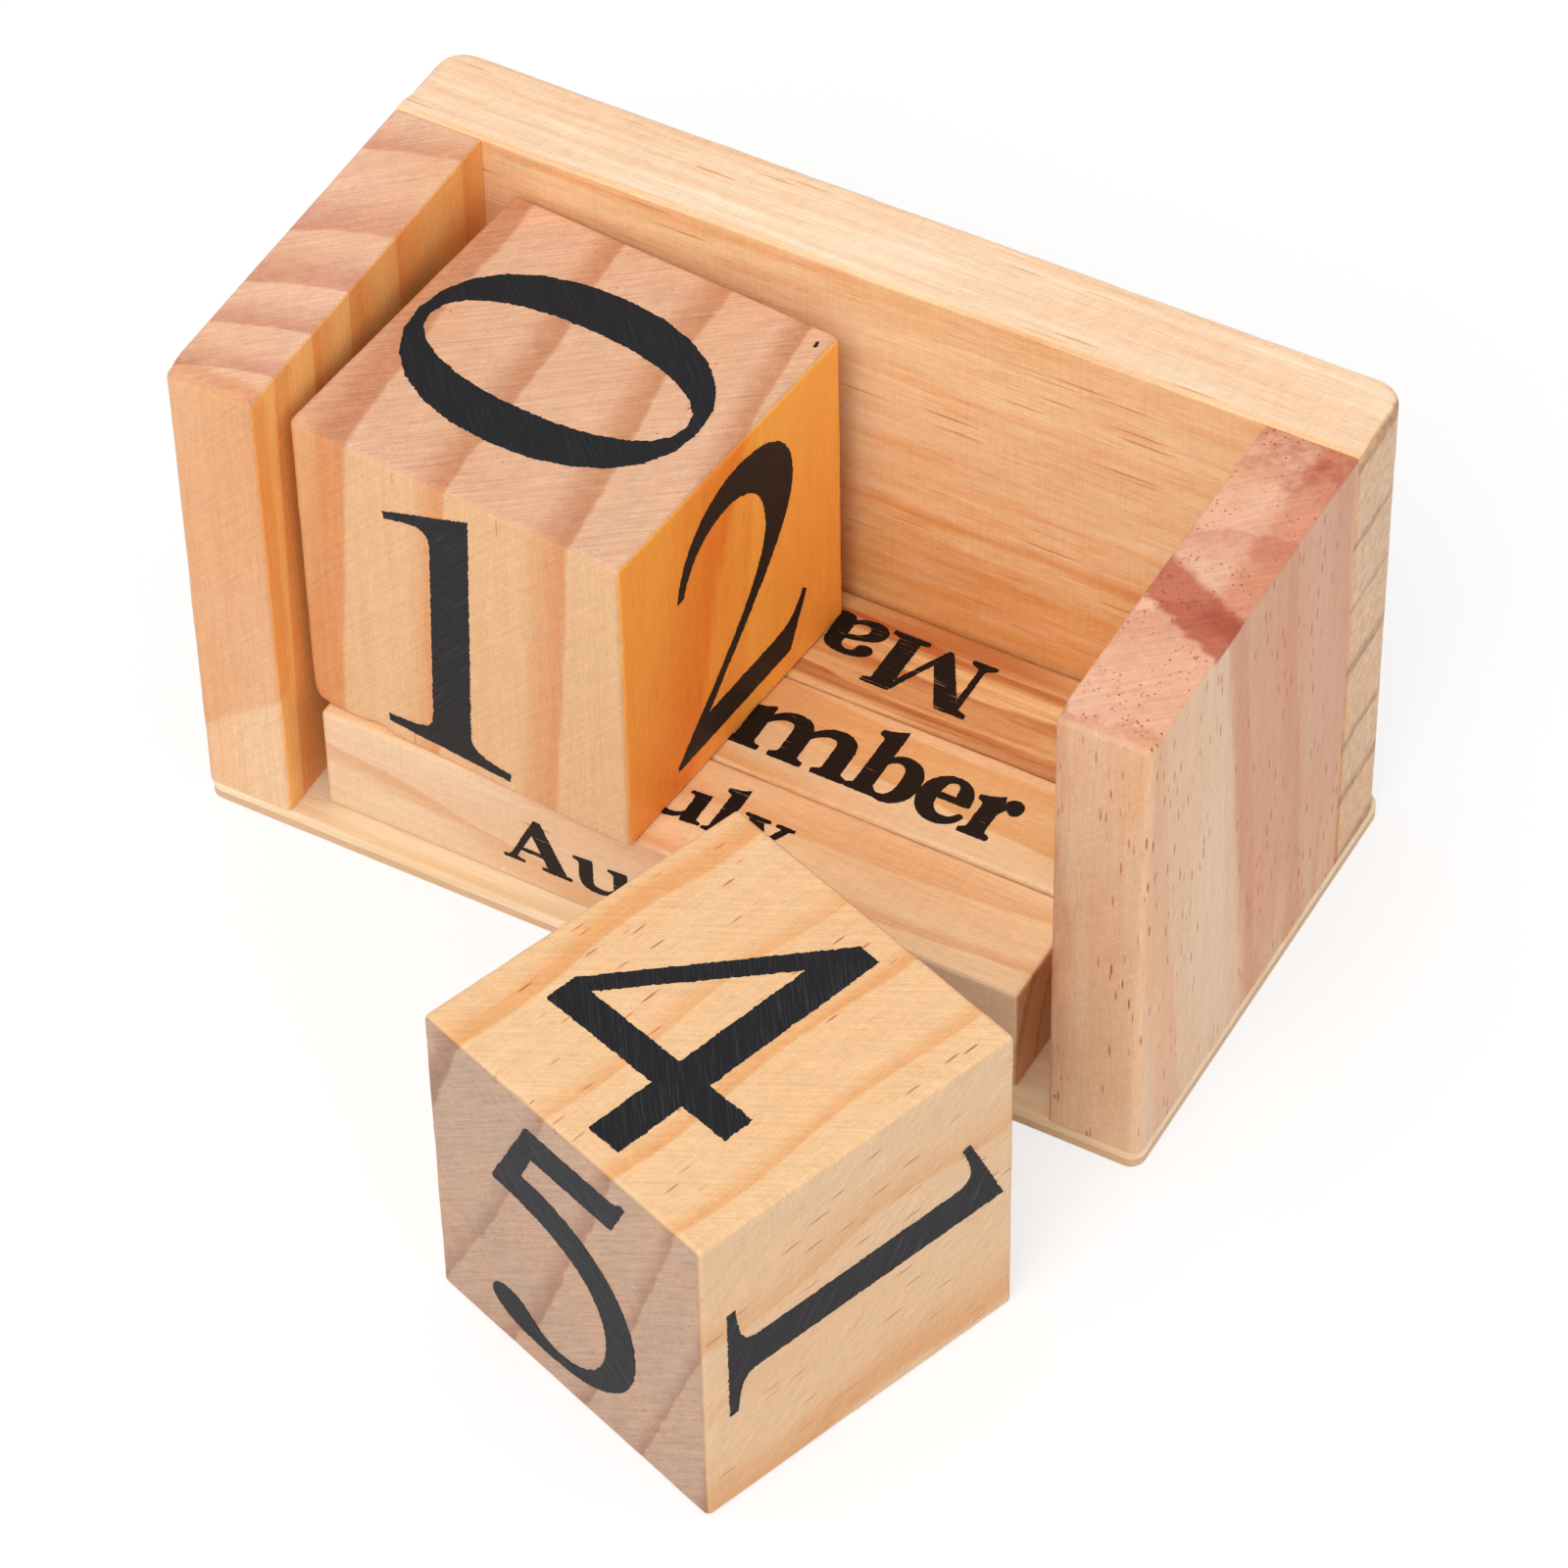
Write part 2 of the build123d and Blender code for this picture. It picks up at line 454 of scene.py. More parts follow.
def pine(name, look):
    """Varnished pine, solid right through: growth rings, fibres, resin ducts, end grain and saw marks."""
    tree = Tree(name)
    start = (look.seed * 31, look.seed * 17, look.seed * 5)
    fibre = tree.vector("ADD", tree.attribute("fibre", "Vector"), start)
    endgrain = tree.attribute("endgrain")
    bands = tree.streaks(fibre, 0.03, 0.9, 3.0)
    fine = tree.streaks(fibre, 0.12, 3.4, 4.0, 0.65)
    boost = tree.maths("MULTIPLY_ADD", endgrain, look.end_boost - 1, 1.0)
    contrast = tree.maths("MULTIPLY", boost, look.contrast)
    depth = tree.maths("MULTIPLY", ring_shade(tree, look, fibre), contrast)
    streaks = tree.maths("DIVIDE", look.streaks, boost)
    depth = tree.centred(fine, streaks, tree.centred(bands, look.bands, depth))
    along = tree.mix(depth, colour(*look.light), colour(*look.dark), free=True)
    ends = tree.mix(depth, colour(*look.end_light), colour(*look.end_dark), free=True)
    base = tree.mix(endgrain, along, ends)
    broad = tree.streaks(fibre, 0.018, 0.08, 2.0)
    tinted = tree.maths("MULTIPLY", tree.step(broad, 0.4, 0.7), look.tint_share)
    base = tree.mix(tinted, base, colour(*look.tint))
    ragged = tree.streaks(fibre, 0.08, 0.6, 5.0, 0.6)
    # the first mask adds tones, painted light on the back board's front face and painted light and shade on
    # the cubes' right faces; the second adds patches, and painted shade on the back board's front face
    for kind, tone in (("tone_and_light", look.tone_and_light), ("patch_and_shade", look.patch_and_shade)):
        share = tree.step(tree.centred(ragged, 0.8, tree.attribute(kind)), 0.2, 0.8)
        toned = tree.mix(1.0, base, colour(*tone), "MULTIPLY")
        base = tree.mix(share, base, toned)
    hair = tree.streaks(fibre, 0.5, 11.0, 2.0, 0.6)
    chatter = tree.streaks(fibre, 2.5, 0.25, 3.0)
    slant = slant_marks(tree, fibre, endgrain)
    saw = tree.maths("MULTIPLY", tree.maths("MULTIPLY_ADD", endgrain, 0.5, 0.5), look.saw)
    level = tree.centred(chatter, look.chatter, tree.centred(hair, tree.maths("DIVIDE", 0.45, boost), 1.0))
    level = tree.maths("MULTIPLY_ADD", tree.maths("SUBTRACT", slant, 0.5), saw, level)
    base = tree.mix(1.0, base, tree.grey(level), "MULTIPLY")
    marks = duct_marks(tree, look, fibre)
    base = tree.mix(tree.maths("MULTIPLY", marks, 0.8), base, colour(*look.duct_colour))
    relief = tree.maths("ADD", tree.maths("DIVIDE", fine, boost), tree.maths("MULTIPLY", slant, saw))
    return varnish(tree, look, base, fibre, relief, marks)


def plywood(name, look):
    """Thin plywood: two pale veneers with a darker core between them, showing at the edges."""
    tree = Tree(name)
    fibre = tree.attribute("fibre", "Vector")
    height = tree.node("ShaderNodeSeparateXYZ", (fibre,)).outputs[2]
    ragged = tree.noise(fibre, (0.3, 0.3, 2.0), 3.0)
    height = tree.centred(ragged, 0.15, height)
    core = tree.maths("MULTIPLY", tree.step(height, PLY_JOINTS[1], PLY_JOINTS[1] - 0.1),
                      tree.step(height, PLY_JOINTS[0] - 0.1, PLY_JOINTS[0]))
    figure = tree.streaks(fibre, 0.03, 0.5, 4.0)
    face = tree.mix(tree.step(figure, 0.35, 0.7), colour(*look.light), colour(*look.dark))
    base = tree.mix(core, face, colour(*look.end_dark))
    fine = tree.streaks(fibre, 0.2, 4.0, 4.0, 0.6)
    base = tree.mix(1.0, base, tree.grey(tree.centred(fine, 0.3, 1.0)), "MULTIPLY")
    return varnish(tree, look, base, fibre, fine, core)


# ---------------------------------------------------------------- outlines of digits and letters
# Written as SVG writes paths: M starts an outline, points after it or after L are joined by lines, and C
# leads a run of curves. All outlines close. A part's holes follow its outline, and a bar stands between
# parts. Digits are in millimetres.
DIGITS = {
    "1": "M 2.4 17.7 -8.1 13.3 -7.9 12.3 C -6 13 -4.6 13.6 -3.4 13.3 -2.4 12.9 -2.35 12 -2.35 10.6 "
         "L -2.35 -13.6 C -2.4 -15.6 -3.4 -16.3 -7.9 -16.6 L -7.9 -17.7 7.3 -17.7 7.3 -16.6 "
         "C 3.2 -16.3 2.4 -15.6 2.35 -13.6",
    "2": "M -10.1 6.9 C -9.2 13 -4.6 17.1 1.2 17.1 7 17.1 10.9 13.8 10.9 8.8 10.9 2.5 4.5 -3 -5.2 -12.8 "
         "L 6.9 -12.8 C 9.6 -12.8 10.9 -11.9 12.3 -9.6 L 13 -10.3 9.8 -16.7 -10.8 -16.7 -10.9 -16 "
         "-2.6 -8.2 C 2.8 -2.6 5.8 1.2 5.8 5.6 5.8 10.2 3 13 -1 13 -4.9 13 -7.6 10.9 -9 6.9",
    "3": "M -9.2 10.2 C -8 14.8 -4.6 17 0 17 5 17 8.2 14.3 8.2 10.2 8.2 6.6 6 4 2.6 2.6 "
         "7.4 1.5 10 -1.6 10 -6 10 -12.4 5 -16.8 -2.6 -16.8 -7.6 -16.8 -11 -15.8 -11 -13.6 "
         "-11 -12.4 -10 -11.8 -8.6 -11.8 -6 -11.8 -4.8 -14.9 -1.6 -14.9 2.6 -14.9 5.4 -11.6 5.4 -6.6 "
         "5.4 -1.6 1.8 1 -4.2 .9 L -4.4 2 C .8 2.6 3.9 5.4 3.9 9.2 3.9 12.4 1.9 14.3 -1.2 14.3 "
         "-4.4 14.3 -6.8 12.8 -8.2 9.8",
    "4": "M 2.2 16.5 5 16.5 5 -5.8 10.9 -5.8 10.9 -9.4 5 -9.4 5 -17.5 .8 -17.5 .8 -9.4 -14 -9.4 -14 -5.7 "
         "M .8 10.7 .8 -5.8 -11.6 -5.8",
    "5": "M -5 16.4 6.8 16.4 C 7.8 16.4 8.4 16.7 8.9 17.4 L 9.5 17 7.3 12.2 -4.4 12.2 -6.1 8.4 "
         "C 3.5 8.2 10 2.6 10 -5.3 10 -11.8 4.8 -16.5 -3.2 -16.5 -8.2 -16.5 -11.8 -15.6 -11.8 -13.4 "
         "-11.8 -12.2 -10.6 -11.5 -9 -11.5 -6.4 -11.5 -5.2 -14.7 -1.9 -14.7 2.6 -14.7 5.6 -11.2 5.6 -6.1 "
         "5.6 .6 -.4 4.4 -10.5 4.4 L -10.6 4.9",
    "6": "M 9.6 16.2 9.4 17.2 C -2.4 15.4 -11.2 7.6 -11.2 -5 -11.2 -12.6 -6.6 -17 0 -17 "
         "6.8 -17 11.2 -12.4 11.2 -6 11.2 .4 7 4.6 1.4 4.6 -1.4 4.6 -4 3.6 -6 1.9 "
         "-4.4 9.4 1.2 14.6 9.6 16.2 M -.4 2.8 C 4 2.8 6.4 -1 6.4 -6.6 6.4 -12.4 4 -15.6 .4 -15.6 "
         "-3.8 -15.6 -6.4 -11.4 -6.4 -4.6 -6.4 -2.6 -6.3 -1 -6.1 .4 -4.6 2 -2.6 2.8 -.4 2.8",
    "7": "M -10.8 17.2 -11.6 10.4 -10.4 10.2 C -9.6 12.4 -8.6 13 -6 13 L 6.2 13 -5 -17 -.4 -17 11.2 15.6 "
         "11.2 17 -9.6 17",
    "8": "M 0 17 C 5 17 8.6 14.2 8.6 9.8 8.6 6.6 6.6 4.2 3.4 2.2 7.6 0 10.2 -3.4 10.2 -7.8 "
         "10.2 -13.4 6 -17 0 -17 -6 -17 -10.2 -13.6 -10.2 -8.4 -10.2 -4.4 -7.6 -1.4 -3.8 .6 "
         "-6.8 2.6 -8.6 5.4 -8.6 9 -8.6 13.8 -5 17 0 17 M .4 15.4 C 3 15.4 4.9 13.2 4.9 9.8 "
         "4.9 7.2 3.9 5 1.8 3.2 -2.4 5.4 -4.7 7.4 -4.7 10.8 -4.7 13.6 -2.6 15.4 .4 15.4 M -2 -.4 "
         "C 3.4 -3.2 6 -5.6 6 -9.6 6 -13.2 3.6 -15.4 .2 -15.4 -3.6 -15.4 -6 -12.6 -6 -8.4 "
         "-6 -5.2 -4.6 -2.4 -2 -.4",
}


def stem(foot, top):
    """A small letter's upright stroke with its serifs, from foot to top."""
    return (
        f"M -1.3 {foot:g} 4 {foot:g} 4 {foot + .6:g} C 3 {foot + .8:g} 2.7 {foot + 1.2:g} "
        f"2.7 {foot + 2.2:g} L 2.7 {top:g} C 1.5 {top - .8:g} .2 {top - 1.2:g} -1.3 {top - 1.3:g} "
        f"L -1.3 {top - 2:g} C -.3 {top - 2.2:g} 0 {top - 2.5:g} 0 {top - 3.4:g} L 0 {foot + 2.2:g} "
        f"C 0 {foot + 1.2:g} -.3 {foot + .8:g} -1.3 {foot + .6:g}")


# Letter strokes. Lower case is 10 high without its stems, capitals are 14 high.
SHORT_STEM = stem(0, 10.2)
TALL_STEM = stem(0, 15.2)
LOW_STEM = stem(-4.6, 10.2)
ARCH = ("M 2.7 7.6 C 3.8 9.4 5.2 10.3 6.8 10.3 9.2 10.3 10.2 8.8 10.2 6.4 L 10.2 2.2 "
        "C 10.2 1.2 10.5 .8 11.5 .6 L 11.5 0 6.2 0 6.2 .6 C 7.2 .8 7.5 1.2 7.5 2.2 L 7.5 6.2 "
        "C 7.5 8 7 8.7 5.9 8.7 4.8 8.7 3.6 7.9 2.7 6.6")
BOWL = ("M 2.7 8.6 C 3.5 9.7 4.6 10.3 5.8 10.3 8.4 10.3 10.1 8.2 10.1 5 10.1 1.8 8.2 -.3 5.6 -.3 "
        "4.5 -.3 3.5 .2 2.6 1.1 M 2.7 7.6 2.7 2 C 3.2 1 3.9 .6 4.6 .6 6.3 .6 7.1 2.2 7.1 5 "
        "7.1 7.7 6.3 9 4.8 9 4 9 3.2 8.5 2.7 7.6")
LETTERS = {
    "a": "M 8.9 2.2 C 9 1.4 9.6 1.2 10.4 1.7 L 10.4 1 C 9.4 -.4 6.6 -.6 6.2 1.4 4.4 -.6 .4 -.8 .4 2.4 "
         ".4 5 3.4 5.6 6.2 6.5 L 6.2 7.6 C 6.2 9.8 3.4 9.8 3.4 8.2 3.6 6.4 .9 6.2 .9 8 "
         ".9 9.6 3 10.3 5.2 10.3 7.8 10.3 8.9 9.2 8.9 7.4 M 6.2 5.6 6.2 2.4 C 4.8 .6 3 1 3 2.8 "
         "3 4.4 4.6 5 6.2 5.6",
    "b": f"{TALL_STEM} | {BOWL}",
    "c": "M 8.8 7.4 C 8.8 9.2 7.2 10.3 5.2 10.3 2.2 10.3 0 8 0 4.9 0 1.8 2.1 -.3 4.9 -.3 "
         "6.9 -.3 8.4 .7 9.2 2.5 L 8.6 2.8 C 7.9 1.6 7.1 1.1 6 1.1 4.1 1.1 2.9 2.7 2.9 5.5 "
         "2.9 8 3.7 9.6 5.1 9.6 6.6 9.6 5.4 6.4 7.3 6.3 8.2 6.3 8.8 6.7 8.8 7.4",
    "e": "M 2.8 5.2 9 5.2 C 8.9 8.4 7.4 10.3 4.8 10.3 2 10.3 0 8.1 0 4.9 0 1.8 2 -.3 4.9 -.3 "
         "6.9 -.3 8.4 .8 9.1 2.6 L 8.5 2.9 C 7.8 1.7 7 1.2 5.9 1.2 4 1.2 2.8 2.6 2.8 5.2 M 2.9 6 6.4 6 "
         "C 6.4 8.4 6 9.6 4.8 9.6 3.6 9.6 2.9 8.3 2.9 6",
    "g": "M 4.4 10.3 C 6.9 10.3 8.4 8.8 8.4 6.7 8.4 4.6 6.9 3.1 4.4 3.1 1.9 3.1 .4 4.6 .4 6.7 "
         ".4 8.8 1.9 10.3 4.4 10.3 M 4.4 9.5 C 5.5 9.5 5.8 8.4 5.8 6.7 5.8 5 5.5 3.9 4.4 3.9 "
         "3.3 3.9 3 5 3 6.7 3 8.4 3.3 9.5 4.4 9.5 | M 6.8 9.2 C 7.6 10.2 8.8 10.5 9.8 10.1 "
         "10.6 9.6 10.2 8.2 9.2 8.3 8.6 8.4 8.4 8.8 7.6 8.2 | M 2.6 4 C .6 3.4 0 2.2 .4 1.2 "
         ".6 .6 1 .2 1.6 0 -1.4 -1 -1 -4.8 4.4 -4.8 7.8 -4.8 9.8 -3.2 9.8 -1.2 9.8 .8 8.2 1.7 5.8 1.7 "
         "L 3.4 1.7 C 2.2 1.7 2.2 2.8 3.6 3.4 M 2.4 -.4 6 -.5 C 9.2 -.6 8.4 -3.9 4.6 -3.9 "
         "1.4 -3.9 .6 -1.6 2.4 -.4",
    "h": f"{TALL_STEM} | {ARCH}",
    "i": f"{SHORT_STEM} | M 1.3 11.6 C 2.4 11.6 3.1 12.4 3.1 13.3 3.1 14.3 2.4 15 1.3 15 "
         ".2 15 -.5 14.3 -.5 13.3 -.5 12.4 .2 11.6 1.3 11.6",
    "l": f"{TALL_STEM}",
    "m": f"{SHORT_STEM} | {ARCH}",
    "n": f"{SHORT_STEM} | {ARCH}",
    "o": "M 5 10.3 C 8 10.3 10 8.1 10 5 10 1.9 8 -.3 5 -.3 2 -.3 0 1.9 0 5 0 8.1 2 10.3 5 10.3 M 5 9.5 "
         "C 6.6 9.5 7.2 8 7.2 5 7.2 2 6.6 .5 5 .5 3.4 .5 2.8 2 2.8 5 2.8 8 3.4 9.5 5 9.5",
    "p": f"{LOW_STEM} | {BOWL}",
    "r": f"{SHORT_STEM} | M 2.7 7.2 C 3.2 9.2 3.9 10.3 5 10.3 6 10.3 6.4 9.7 6.4 8.8 "
         "6.4 7.9 5.9 7.3 5.3 7.3 4.7 7.3 4.5 8 4 8 3.5 8 3 7 2.6 5.4",
    "s": "M 7.2 10.2 6.6 10.2 6 9.7 C 5.4 10.1 4.6 10.3 3.8 10.3 1.6 10.3 .2 9 .2 7.1 "
         ".2 5.4 1.3 4.6 3.4 3.8 5 3.2 5.6 2.8 5.6 1.9 5.6 1 4.9 .5 3.9 .5 2.3 .5 1.2 1.6 .7 3.5 "
         "L .1 3.5 .1 -.2 .7 -.2 1.3 .4 C 2 -.1 2.9 -.3 3.9 -.3 6.3 -.3 7.8 1 7.8 3 "
         "7.8 4.9 6.6 5.8 4.5 6.6 3 7.2 2.3 7.6 2.3 8.3 2.3 9 2.9 9.5 3.8 9.5 5.2 9.5 6.2 8.6 6.6 6.9 "
         "L 7.2 6.9",
    "t": "M 2.7 9.2 5.6 9.2 5.6 10 2.7 10 2.7 12.9 2.1 12.9 C 1.4 11.2 .4 10 -1.2 9.6 L -1.2 9.2 0 9.2 "
         "0 2.6 C 0 .6 1.2 -.3 2.9 -.3 4.4 -.3 5.5 .6 6.1 2 L 5.5 2.4 C 5 1.5 4.5 1.2 3.9 1.2 "
         "3.1 1.2 2.7 1.7 2.7 2.8",
    "u": "M -1.3 9.9 -1.3 9.3 C -.3 9.1 0 8.8 0 7.8 L 0 3.6 C 0 1 1.4 -.3 3.6 -.3 5.2 -.3 6.6 .5 7.5 1.8 "
         "L 7.5 -.2 11.5 .3 11.5 .9 C 10.5 1 10.2 1.2 10.2 2.2 L 10.2 10.2 6.2 9.9 6.2 9.3 "
         "C 7.2 9.1 7.5 8.8 7.5 7.8 L 7.5 3 C 6.8 1.9 6 1.3 4.9 1.3 3.4 1.3 2.7 2 2.7 3.8 L 2.7 10.2",
    "v": "M -.6 10 -.6 9.4 .4 9 4.4 -.3 5.4 -.3 8.8 9 9.8 9.4 9.8 10 6 10 6 9.4 7.5 9 5.6 3.6 3.3 9 "
         "4.5 9.4 4.5 10",
    "y": "M -.6 10 -.6 9.4 .4 9 4.3 -.1 3.6 -2 C 3.1 -3 2.6 -2.9 1.9 -2.6 .9 -2.2 0 -2.7 0 -3.6 "
         "0 -4.5 .9 -5 1.9 -4.8 3.2 -4.6 4 -3.6 4.7 -1.9 L 8.8 9 9.8 9.4 9.8 10 6 10 6 9.4 7.5 9 5.6 3.6 "
         "3.3 9 4.5 9.4 4.5 10",
    "A": "M 6.4 14.4 7.6 14.4 13 .9 14.2 .6 14.2 0 8 0 8 .6 9.4 .9 8.2 4.2 3.2 4.2 2.4 1.8 "
         "C 2.2 1 2.6 .7 4 .6 L 4 0 -.4 0 -.4 .6 C .6 .7 1 1 1.4 2 M 3.6 5.1 7.9 5.1 5.8 11",
    "D": "M -1.2 14 5.6 14 C 10.6 14 13.4 11.4 13.4 7 13.4 2.6 10.6 0 5.6 0 L -1.2 0 -1.2 .6 "
         "C 0 .7 .4 1 .4 1.8 L .4 12.2 C .4 13 0 13.3 -1.2 13.4 M 3.6 13.2 3.6 .8 4.8 .8 "
         "C 8.4 .8 10 2.8 10 7 10 11.2 8.4 13.2 4.8 13.2",
    "F": "M -1.2 14 10.4 14 10.8 10 10.1 10 C 9.6 12.4 8.6 13.2 6.4 13.2 L 3.6 13.2 3.6 7.6 4.8 7.6 "
         "C 6.4 7.6 6.8 8.4 7 10 L 7.7 10 7.7 4.6 7 4.6 C 6.8 6.2 6.4 6.9 4.8 6.9 L 3.6 6.9 3.6 1.8 "
         "C 3.6 1 4 .7 5.4 .6 L 5.4 0 -1.2 0 -1.2 .6 C 0 .7 .4 1 .4 1.8 L .4 12.2 "
         "C .4 13 0 13.3 -1.2 13.4",
    "J": "M 1.6 14 1.6 13.4 3 12.9 3 2.6 C 3 .6 2.6 -.4 1.9 -.4 1.2 -.4 1.6 1.6 -.2 1.6 "
         "-1.1 1.6 -1.7 1 -1.7 .1 -1.7 -1.1 -.5 -1.9 1.2 -1.9 4.2 -1.9 6.2 -.4 6.2 3 L 6.2 12.9 7.6 13.4 "
         "7.6 14",
    "M": "M -.6 14 4.2 14 8.5 4.4 12.4 14 17 14 17 13.4 15.6 12.9 15.6 1.1 17 .6 17 0 11 0 11 .6 "
         "12.4 1.1 12.4 12.2 7.6 .2 7 .2 1.8 11.6 1.8 1.6 3.4 .6 3.4 0 -.6 0 -.6 .6 1 1.6 1 12.9 "
         "-.6 13.4",
    "N": "M -.6 14 3.8 14 11 4.6 11 12.2 C 11 13 10.6 13.3 9.4 13.4 L 9.4 14 13.8 14 13.8 13.4 "
         "C 12.6 13.3 12.2 13 12.2 12.2 L 12.2 -.3 11.3 -.3 2.2 11.4 2.2 1.8 C 2.2 1 2.6 .7 3.8 .6 "
         "L 3.8 0 -.6 0 -.6 .6 C .6 .7 1 1 1 1.8 L 1 12.6 C .6 13.2 .2 13.3 -.6 13.4",
    "O": "M 7 14.3 C 11.2 14.3 14 11.4 14 7 14 2.6 11.2 -.3 7 -.3 2.8 -.3 0 2.6 0 7 "
         "0 11.4 2.8 14.3 7 14.3 M 7 13.5 C 9.4 13.5 10.5 11.4 10.5 7 10.5 2.6 9.4 .5 7 .5 "
         "4.6 .5 3.5 2.6 3.5 7 3.5 11.4 4.6 13.5 7 13.5",
    "S": "M 9 14.2 8.2 14.2 7.4 13.5 C 6.7 14 5.7 14.3 4.7 14.3 2 14.3 .3 12.6 .3 10 "
         ".3 7.6 1.6 6.4 4.2 5.3 6.3 4.5 7 3.9 7 2.6 7 1.3 6.1 .6 4.9 .6 2.9 .6 1.5 2.2 .9 4.9 L .1 4.9 "
         ".1 -.2 .9 -.2 1.6 .6 C 2.5 0 3.6 -.3 4.9 -.3 7.9 -.3 9.8 1.5 9.8 4.2 9.8 6.9 8.3 8.1 5.6 9.2 "
         "3.7 10 2.9 10.6 2.9 11.6 2.9 12.7 3.6 13.3 4.8 13.3 6.5 13.3 7.8 12 8.2 9.6 L 9 9.6",
}
LOWER_HEIGHT = 10           # of the small letters as they are drawn
CAPITAL_RISE = 4            # how far the capitals stand above them
LETTER_GAP = 0.6
ARCH_PITCH = 7.5            # from the small m's first arch to its second
M_STRETCH = 1.12            # the small m is wider than its strokes are drawn
DIGIT_STEP = 0.26           # from one outline point to the next, in millimetres
DIGIT_RAGGED = 0.045        # how far the printed edge strays
INK_SPECK = (17.6, -18.7)   # middle of a stray fleck of ink on the left cube's top
WORD_STEP = 0.2
WORD_RAGGED = 0.025
CURVE_CHORDS = 12
ZERO_OUTER = (24.6, 34.2, 2.15)     # width, height and squareness of the digit 0
ZERO_INNER = (13.3, 31.3, 2.15)


def oval(wide, high, squareness, count=24):
    """A closed curve between an ellipse and a rectangle."""
    angles = np.arange(count) * 2 * math.pi / count
    c, s = np.cos(angles), np.sin(angles)
    power = 2 / squareness
    x = wide / 2 * np.sign(c) * abs(c) ** power
    y = high / 2 * np.sign(s) * abs(s) ** power
    return np.stack([x, y], axis=1)


def contour(path):
    """The corner points of one outline. Curves become short chords."""
    points = []
    for kind, numbers in re.findall("([MLC])([^MLC]+)", path):
        steps = np.array(numbers.split(), float).reshape(-1, 2)
        if kind != "C":
            points.extend(steps)
            continue
        for first, second, end in steps.reshape(-1, 3, 2):
            start = points[-1]
            for t in np.linspace(0, 1, CURVE_CHORDS + 1)[1:]:
                s = 1 - t
                points.append(s ** 3 * start + 3 * s * s * t * first + 3 * s * t * t * second + t ** 3 * end)
    return np.array(points)


def drawn_parts(drawing):
    """A drawing's parts, each an outline and its holes."""
    return [[contour(path) for path in re.findall("M[^M]+", part)] for part in drawing.split("|")]


def even_points(points, step):
    """The same closed outline with a point about every step, its corners kept."""
    out = []
    for start, end in zip(points, np.roll(points, -1, axis=0)):
        length = np.linalg.norm(end - start)
        if length > 1e-6:
            count = max(1, int(round(length / step)))
            out.extend(start + (end - start) * k / count for k in range(count))
    return thin(np.array(out), step * 0.55)


def thin(points, gap):
    """Drops points that stand closer than gap to the one kept before."""
    kept = [points[0]]
    for point in points[1:]:
        if np.linalg.norm(point - kept[-1]) >= gap:
            kept.append(point)
    if len(kept) > 3 and np.linalg.norm(kept[-1] - kept[0]) < gap:
        kept.pop()
    return np.array(kept)


def inside(points, outline):
    """Which points lie within a closed outline."""
    x, y = points[:, 0, None], points[:, 1, None]
    start, end = outline, np.roll(outline, -1, axis=0)
    crosses = (start[None, :, 1] > y) != (end[None, :, 1] > y)
    rise = np.where(end[:, 1] == start[:, 1], 1e-12, end[:, 1] - start[:, 1])
    at = start[None, :, 0] + (y - start[None, :, 1]) * ((end[:, 0] - start[:, 0]) / rise)[None]
    return (crosses & (at > x)).sum(axis=1) % 2 == 1


def letter_parts(letter):
    """A letter's parts. The small m repeats its arch."""
    parts = drawn_parts(LETTERS[letter])
    if letter == "m":
        parts.append([outline + (ARCH_PITCH, 0) for outline in parts[-1]])
        parts = [[outline * (M_STRETCH, 1) for outline in part] for part in parts]
    return parts


def word_parts(text, start, end, x_height, rise, base):
    """A word's outlines: its ends along the baseline, x-height, capital height and baseline, all in mm."""
    glyphs = []
    pen = 0.0
    for letter in text:
        parts = letter_parts(letter)
        every = np.concatenate([outline for part in parts for outline in part])
        shift = pen - every[:, 0].min()
        pen += np.ptp(every[:, 0]) + LETTER_GAP
        glyphs += [[outline + (shift, 0) for outline in part] for part in parts]
    wide = (end - start) / (pen - LETTER_GAP)
    low = x_height / LOWER_HEIGHT
    high = (rise - x_height) / CAPITAL_RISE

    def placed(outline):
        y = outline[:, 1]
        y = np.where(y > LOWER_HEIGHT, LOWER_HEIGHT * low + (y - LOWER_HEIGHT) * high, y * low)
        return np.stack([start + outline[:, 0] * wide, base + y], axis=1)
    return [[placed(outline) for outline in part] for part in glyphs]


def digit_parts(digit, shift, turn):
    """A digit's outlines, turned by turn degrees and shifted."""
    if digit == "0":
        parts = [[even_points(oval(*measures), 1.0) for measures in (ZERO_OUTER, ZERO_INNER)]]
    else:
        parts = drawn_parts(DIGITS[digit])
    c, s = math.cos(math.radians(turn)), math.sin(math.radians(turn))
    spin = np.array([[c, s], [-s, c]])
    return [[outline @ spin + shift for outline in part] for part in parts]


# ---------------------------------------------------------------- ink films
FACES = {                           # which way is right and which is up, looking at each face
    "top": ((1, 0, 0), (0, 1, 0)),
    "top_from_left": ((0, 1, 0), (-1, 0, 0)),
    "top_from_back": ((-1, 0, 0), (0, -1, 0)),
    "front": ((1, 0, 0), (0, 0, 1)),
    "right": ((0, 1, 0), (0, 0, 1)),
    "right_lying": ((0, 0, -1), (0, 1, 0)),
    "back": ((-1, 0, 0), (0, 0, 1)),
    "left": ((0, -1, 0), (0, 0, 1)),
    "bottom": ((1, 0, 0), (0, -1, 0)),
}


def outward(outline):
    """The outward direction at each point of a closed outline."""
    run = np.roll(outline, -1, axis=0) - np.roll(outline, 1, axis=0)
    run /= np.maximum(np.linalg.norm(run, axis=1), 1e-9)[:, None]
    x, y = outline.T
    turning = np.sign((x * np.roll(y, -1) - y * np.roll(x, -1)).sum())
    return np.column_stack([run[:, 1], -run[:, 0]]) * turning


